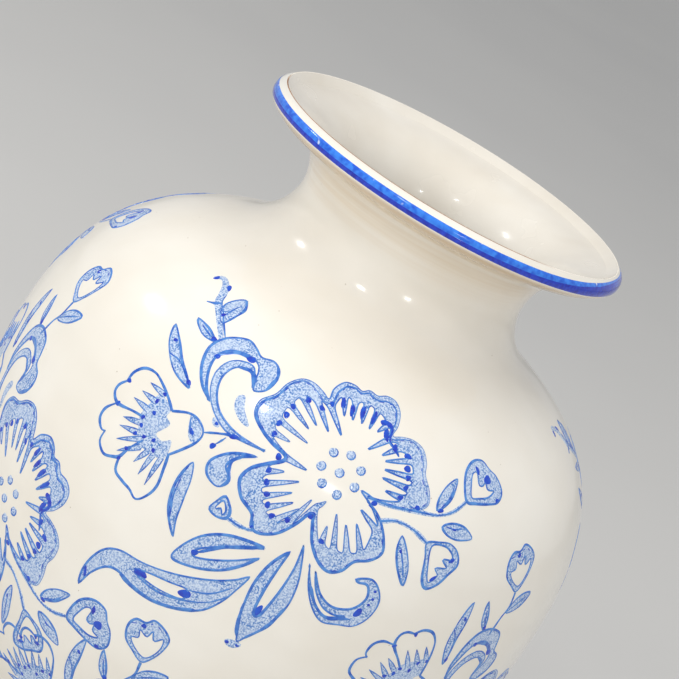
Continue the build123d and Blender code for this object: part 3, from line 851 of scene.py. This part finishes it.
# Heart buds, each as its outside, its white middle, the stem it hangs on, and its drops
BUDS = [
    ([(51, 21.6), (48, 27), (47.4, 33), (50, 38.3), (55, 40.6), (59.5, 38.6), (64, 37), (68, 32.5),
      (67, 27.5), (62, 24.7), (56, 22.6)],
     [(52.8, 24.3), (51.2, 29), (51, 33), (53, 34.5), (55, 30.4), (57, 30.5), (58.2, 32.3), (60, 30.2),
      (63.3, 30.8), (61, 27.4), (56.5, 25.2)],
     [(12, 5.8), (22, 7.2), (32, 9.6), (40.5, 11.8), (46.5, 15.6), (50.8, 21.4)],
     [((59, 33.8), 4.8, 4.6, 0), ((53.2, 35.4), 4.6, 2, -50), ((66, 28), 2.6, 2, 60)]),
    ([(41, 1), (46, 3.6), (51, 5), (56, 3.4), (59, -1), (57, -6), (55, -11), (51, -14.6), (47, -12),
      (43.5, -4.5)],
     [(44, 0.8), (49.5, 3), (54, 1.6), (55, -0.5), (51.3, -1.8), (54.6, -4), (50, -5.8), (52.5, -8),
      (50.3, -11.8), (46.8, -7)], [(20.3, 0.4), (26, 3), (33.5, 3), (41, 1)],
     [((55.3, -0.6), 3.4, 2, 50), ((51.5, -9.8), 3.6, 1.8, 60)]),
    ([(-35, -16.8), (-38, -20.5), (-39, -24), (-35, -25.6), (-31, -24.3), (-31.2, -20.5)],
     [(-35, -18.8), (-36.6, -21.4), (-36.6, -23), (-34.8, -21.8), (-33.4, -23.8), (-32.6, -21.8)],
     [(-31, -23.8), (-26, -24.6), (-21, -23.8), (-22, -20.5)], [((-21.6, -22.6), 2, 1.4, 60)]),
]
BUDDED_STEM = [(-62, 35), (-65, 42), (-66, 47.5), (-70, 52.5)]
BUDDED_LEAF = [(-65, 45), (-61.5, 48.5), (-59, 54), (-59.3, 60.5), (-64, 57), (-66.5, 51)]
TOP_BUD = [
    (-70, 52.5), (-76, 51), (-82, 50.5), (-87, 54), (-88, 58.5), (-85, 62), (-84.5, 66), (-79.5, 68.5),
    (-74, 68.5), (-71, 64), (-69.5, 58),
]
TOP_BUD_MIDDLE = [
    (-71.5, 54.6), (-77, 52.8), (-81.5, 53.2), (-80.3, 56.3), (-83, 58.3), (-79.3, 59.8), (-80.3, 63.3),
    (-76.5, 62), (-75.5, 66), (-72.6, 63.6), (-71, 59),
]
SPRIG = [(-65.5, 34.5), (-70, 40), (-74, 45), (-78, 49.5), (-79.3, 54), (-82, 59), (-86, 62.3), (-89.5, 60.5)]


def tooth(wash, lines, root, tip, width=2.0):
    """A painted tooth that thins from its root to its tip, with fine edges."""
    root, tip = np.array(root, float), np.array(tip, float)
    run = tip - root
    across = np.array([-run[1], run[0]]) / np.hypot(*run) * width / 2
    middle = root + run * 0.45
    outline = [root + across, middle + across * 0.75, tip, middle - across * 0.75, root - across]
    wash.area(outline, lift=SPIKE_LIFT, spacing=1.2)
    for side in (across, -across):
        lines.stroke([root + side, middle + side * 0.8, tip], 0.5, ends=(0.8, 0.5))


def outlined(wash, lines, outline, width=1.1, holes=()):
    """A washed shape with a brushed line just inside its edge."""
    wash.area(outline, holes)
    lines.stroke(inset(outline, 0.35), width, closed=True, press=0.3)
    for hole in holes:
        lines.stroke(hole, width * 0.7, closed=True)


def comb():
    """The edge of the blossom's white heart, which runs in along each tooth and out between two teeth."""
    teeth = sorted(TEETH, key=lambda tooth: atan2(tooth[0][1] - HEART[1], tooth[0][0] - HEART[0]))
    teeth = [np.array(tooth, float) for tooth in teeth]
    run = []
    for (root, tip), (next_root, next_tip) in zip(teeth, teeth[1:] + teeth[:1]):
        length = np.hypot(*(tip - root))
        across = np.array([root[1] - tip[1], tip[0] - root[0]]) / length
        half = min(1.25, np.hypot(*(next_root - root)) * 0.27)
        run += [root + across * half, tip * 0.55 + root * 0.45 + across * half * 0.55, tip,
                tip * 0.55 + root * 0.45 - across * half * 0.55, root - across * half]
        outwards = (root - tip) / length + (next_root - next_tip) / np.hypot(*(next_root - next_tip))
        run.append((root + next_root) / 2 + outwards / np.hypot(*outwards) * 1.1)
    return run


def paint_blossom(wash, lines, pools):
    """The five-petalled flower: a washed border round a white, combed heart with eight ringed eyes."""
    heart = comb()
    wash.area(BLOSSOM_EDGE, [heart], spacing=1.6, step=0.5)
    lines.stroke(heart, 0.6, closed=True, press=0.3, step=0.5)
    edge = smooth(BLOSSOM_EDGE, True)
    halo = 0.35 + 1.9 * np.clip((edge[:, 1] - 4) / 40, 0, 1) * (0.8 + 0.4 * np.sin(edge[:, 0] / 4))
    lines.stroke(inset(BLOSSOM_EDGE, halo), 1.15, closed=True, press=0.45)
    lines.stroke(inset(BLOSSOM_EDGE, 0.1), 0.45, closed=True, lift=SPIKE_LIFT, press=0.6)
    lines.stroke([(7.5, 35.5), (11, 33.5), (11.3, 29), (14.8, 27), (17, 25)], 1.5)
    deep = [(6.5, 36), (10.8, 34), (11.2, 29.5), (13.6, 27.5), (15.8, 25.8)]
    pools.stroke(deep, 1.7, lift=POOL_LIFT, press=0.5)
    pools.dashes(inset(BLOSSOM_EDGE, halo + 0.5), 0.55, closed=True)
    for place in SIDE_DROPS:
        pools.drop(place, 2.9, 2.4, 40 * place[0])
    pools.drops(DEEP_DROPS)
    arc = np.linspace(-2.9, 1.6, 9)
    for place in EYES:
        wash.drop(place, 3.9, 3.7, lift=WASH_LIFT)
        lines.stroke(np.array(place) + 1.7 * np.stack([np.cos(arc), np.sin(arc)], -1), 0.6)


def paint_fan(wash, lines, pools):
    wash.area(FAN_BED)
    for edge in FAN_EDGES:
        lines.stroke(edge, 1.25, ends=(0.8, 0.7))
    lines.stroke(CUP, 1.1, ends=(0.8, 0.8))
    wash.area(CUP_WASH)
    lines.stroke([(-60, 3.5), (-58, -1), (-55.5, -3)], 1.0)
    pools.drop((-57, -1.6), 3.4, 1.9, -45)
    for root, tip in FAN_TEETH:
        tooth(wash, lines, root, tip)
    for place in FAN_DROPS:
        pools.drop(place, 2.4, 1.9, 30 * place[1])


def paint_scrolls(wash, lines, pools):
    outlined(wash, lines, HOOK)
    outlined(wash, lines, HOOK_INSIDE, 0.8)
    lines.stroke([(-64, 27), (-61, 31), (-56, 33.4), (-49.5, 33)], 2.2)
    lines.stroke([(-54, 27.8), (-49, 28.6), (-46, 26.5), (-44.8, 22.8)], 2.0)
    lines.stroke([(-41, 35.5), (-38.6, 31), (-40, 25)], 1.6)
    pools.drop((-51, 33), 4.6, 3, 5)
    pools.drop((-63, 28), 3, 2.4, 40)
    pools.drop((-42, 3.6), 4.2, 2.2, 15)
    lines.stroke([(-53, 0), (-47.5, 2.2), (-42, 3.6), (-30, 4)], 1.2)
    lines.stroke([(-44.5, 2), (-46, -0.5), (-47.5, -2.5)], 0.9)
    pools.drop((-47.6, -2.8), 2.8, 2.2, 50)
    wash.drop((-50.5, 5.2), 4.6, 2.6, -35, lift=WASH_LIFT)
    pools.drop((-50, 5), 2, 1.6, -30)
    wash.area(SMALL_BEAN)
    outlined(wash, lines, CRESCENT)
    lines.stroke([(-35, -0.5), (-38.5, -4.5), (-38.3, -8), (-36.8, -11.5), (-38.5, -14.5)], 1.5)


def paint_sprig(wash, lines, pools, budded):
    """The sprig above the scrolls, which ends in a bud or in a curl."""
    if budded:
        lines.stroke(BUDDED_STEM, 1.3, ends=(0.9, 0.9))
        outlined(wash, lines, BUDDED_LEAF, 0.9)
        lines.stroke([(-65, 46), (-63, 52), (-60.3, 58.5)], 0.9)
        outlined(wash, lines, TOP_BUD, 1.0, [TOP_BUD_MIDDLE])
        pools.drop((-83.8, 60.5), 3.2, 2.2, 50)
        pools.dashes([(-87, 56), (-84, 62), (-82, 66), (-76, 67.5)], 0.6)
    else:
        wash.stroke(SPRIG, 3.2, lift=WASH_LIFT, ends=(0.6, 0.5))
        lines.stroke([(x + 1.3, y + 0.9) for x, y in SPRIG[:5]], 0.8)
        lines.stroke([(-76, 50), (-78.5, 48.5), (-82, 47.5)], 1.6, ends=(0.6, 0.3))
        pools.drop((-80, 58.7), 4.4, 2.2, -55)
        pools.drop((-88.3, 61), 3.4, 2.2, 65)


def paint_wave_and_blades(wash, lines, pools):
    outlined(wash, lines, WAVE, 1.1, [WAVE_SLOT])
    lines.stroke([(-62, -62.8), (-50, -66), (-38, -65.8), (-25, -61.5)], 1.7)
    lines.stroke([(-58, -59), (-46, -62), (-35, -61), (-24, -57), (-17, -51)], 1.0)
    lines.stroke([(-33, -56), (-24, -53), (-16.5, -46.5)], 1.0)
    pools.drop((-53.8, -58.5), 7.2, 3.6, -5)
    pools.drop((-33, -57.7), 6.6, 3.8, 12)
    pools.drop((-78, -68.5), 2, 6, 10)
    outlined(wash, lines, BLADES)
    lines.stroke([(-35.5, -47), (-26, -43.6), (-18, -37.5), (-13.5, -32)], 1.4)
    lines.stroke([(-36, -41), (-27, -34.5), (-15, -28.5)], 1.4)
    pools.drop((-36.8, -41.3), 3.6, 2.8, 20)


def paint_hanging_leaves(wash, lines, pools):
    outlined(wash, lines, HANGING)
    lines.stroke([(5, -44), (2.5, -54.5), (-4, -64.5)], 1.6)
    lines.stroke([(-10.4, -50), (-8.5, -59), (-5.5, -64.5)], 1.5)
    pools.drop((-3.8, -50.5), 5.4, 2.8, 85)
    wash.drop((-6, -67.3), 8, 3.8, 8, lift=SPIKE_LIFT)
    pools.drop((-8.3, -67.6), 2.2, 1.8)
    pools.drop((-4, -67.2), 1.8, 1.4)
    outlined(wash, lines, CURL, 0.9)
    lines.stroke([(8, -32), (14, -38), (20, -41), (26, -39.2), (30.5, -37.5)], 1.5)
    pools.drop((31.4, -34), 5.4, 3.6, 75)
    for place in ((32.6, -23.8), (33.5, -26.8), (33.4, -29.4)):
        pools.drop(place, 1.6, 1.4)


def paint_leaves_and_buds(wash, lines, pools, leaves, buds, budded):
    for number, (outline, strokes, drops) in enumerate(leaves):
        if budded and number == SPRIG_LEAF:
            continue
        outlined(wash, lines, outline, 0.9)
        for stroke in strokes:
            lines.stroke(stroke, 1.0)
            pools.dashes(stroke, 0.6)
        pools.drops(drops)
    for outside, middle, stem, drops in buds:
        outlined(wash, lines, outside, 1.1, [middle])
        wash.stroke(stem, 2.0, lift=WASH_LIFT, ends=(0.9, 0.9))
        lines.stroke(stem, 1.1, ends=(0.9, 0.9))
        pools.drops(drops)


# -------- the whole vase
def paint_cluster(number, cluster):
    """All of one cluster's painting: a pale wash, brushed lines over it, and pools of colour over those."""
    wash, lines, pools = Layer(cluster), Layer(cluster), Layer(cluster)
    paint_blossom(wash, lines, pools)
    paint_fan(wash, lines, pools)
    paint_scrolls(wash, lines, pools)
    paint_sprig(wash, lines, pools, cluster.budded)
    paint_wave_and_blades(wash, lines, pools)
    if cluster.low:
        paint_leaves_and_buds(wash, lines, pools, LEAVES[:LOW_LEAVES], [BUDS[0], BUDS[2]], True)
    else:
        paint_hanging_leaves(wash, lines, pools)
        paint_leaves_and_buds(wash, lines, pools, LEAVES, BUDS, cluster.budded)
    for layer, kind, material in ((wash, "wash", WASH), (lines, "lines", LINE), (pools, "pools", POOL)):
        make_piece(f"{kind}_{number}", layer.vertices, layer.faces, material, PAINTED)


PAINTED = [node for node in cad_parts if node.startswith("painted_")]
CLUSTERS = [
    *[Cluster(azimuth, 213.7, 0, BLOSSOM_MIDDLE) for azimuth in (10.8, 130, 250)],
    Cluster(-43.2, 134, -34.8, (0, 0), budded=True),
    Cluster(68.2, 124, -36.7, (0, 0), budded=True),
    Cluster(190, 129, -35, (0, 0), budded=True),
    *[Cluster(azimuth, 46.3, -26, (0, 0), budded=True, low=True) for azimuth in (14.8, 134.8, 254.8)],
]

for section in (foot_clay, lower_clay, upper_clay, neck_clay, outer_coat, inner_coat, well_coat):
    section()
band_stroke("band_lower", EDGE_LOW, EDGE_LOW + 1.9, VIOLET, lift=0.14, waver=0.12, seed=1.3, climb=4.2)
band_stroke("band_upper", EDGE_LOW + 1.4, EDGE_HIGH, AZURE, lift=0.09, waver=0.2, seed=2.1, climb=2.2)
for number, cluster in enumerate(CLUSTERS, 1):
    paint_cluster(number, cluster)


# -------- studio
FLOOR_REACH = 6.0
PAPER = srgb(214, 213, 210)
DARK_PAPER = srgb(206, 205, 203)
SKY = (0.97, 0.98, 1.0, 1)
SKY_STRENGTH = 0.52
AIMED_AT = Vector((0, 0, 0.18))
# Lamps as (name, place, width, power, colour): three soft ones, and three small ones that show as highlights
LAMPS = [
    ("key", (-1.6, -1.6, 0.9), 1.2, 17.5, (1, 0.98, 0.94)),
    ("overhead", (-0.3, -0.3, 2.2), 1.6, 17, (1, 0.985, 0.96)),
    ("fill", (1.7, -1.3, 0.9), 1.4, 8, (1, 0.97, 0.92)),
    ("shoulder_spot", (-1.14, 0.06, 0.95), 0.11, 1.3, (1, 1, 1)),
    ("left_spot", (-0.35, -0.92, 1.18), 0.1, 1.1, (1, 1, 1)),
    ("right_spot", (0.43, -1.2, 0.79), 0.08, 0.8, (1, 1, 1)),
]
CAMERA_PLACE = Vector((0, -0.8842, 0.4865))
CAMERA_TARGET = Vector((-0.0055, 0, 0.2204))
CAMERA_ROLL = 30.7
SENSOR_WIDTH = 36.0
FOCAL_LENGTH = 119.3


def pale_floor():
    mesh = bpy.data.meshes.new("floor")
    corners = [(x * FLOOR_REACH, y * FLOOR_REACH, 0) for x, y in ((-1, -1), (1, -1), (1, 1), (-1, 1))]
    mesh.from_pydata(corners, [], [(0, 1, 2, 3)])
    floor = bpy.data.objects.new("floor", mesh)
    bpy.context.scene.collection.objects.link(floor)
    n = Nodes("floor_paper", 0.8)
    mesh.materials.append(n.finish(n.mix(n.noise(400), PAPER, DARK_PAPER)))


def soft_light():
    world = bpy.data.worlds.new("studio")
    bpy.context.scene.world = world
    world.use_nodes = True
    world.node_tree.nodes["Background"].inputs["Color"].default_value = SKY
    world.node_tree.nodes["Background"].inputs["Strength"].default_value = SKY_STRENGTH
    bpy.context.scene.view_settings.view_transform = "Standard"
    for name, place, width, power, colour in LAMPS:
        light = bpy.data.lights.new(name, "AREA")
        light.size, light.energy, light.color = width, power, colour
        lamp = bpy.data.objects.new(name, light)
        lamp.location = place
        lamp.rotation_euler = (AIMED_AT - Vector(place)).to_track_quat("-Z", "Y").to_euler()
        lamp.visible_glossy = name.endswith("spot")
        bpy.context.scene.collection.objects.link(lamp)


def camera():
    """Looks down on the mouth from the front, rolled so that the vase leans to the right."""
    lens = bpy.data.cameras.new("camera")
    lens.sensor_width, lens.lens = SENSOR_WIDTH, FOCAL_LENGTH
    lens.clip_start = 0.05
    eye = bpy.data.objects.new("camera", lens)
    look = (CAMERA_TARGET - CAMERA_PLACE).to_track_quat("-Z", "Y").to_matrix().to_4x4()
    eye.matrix_world = Matrix.Translation(CAMERA_PLACE) @ look @ Matrix.Rotation(radians(CAMERA_ROLL), 4, "Z")
    bpy.context.scene.collection.objects.link(eye)
    bpy.context.scene.camera = eye


pale_floor()
soft_light()
camera()
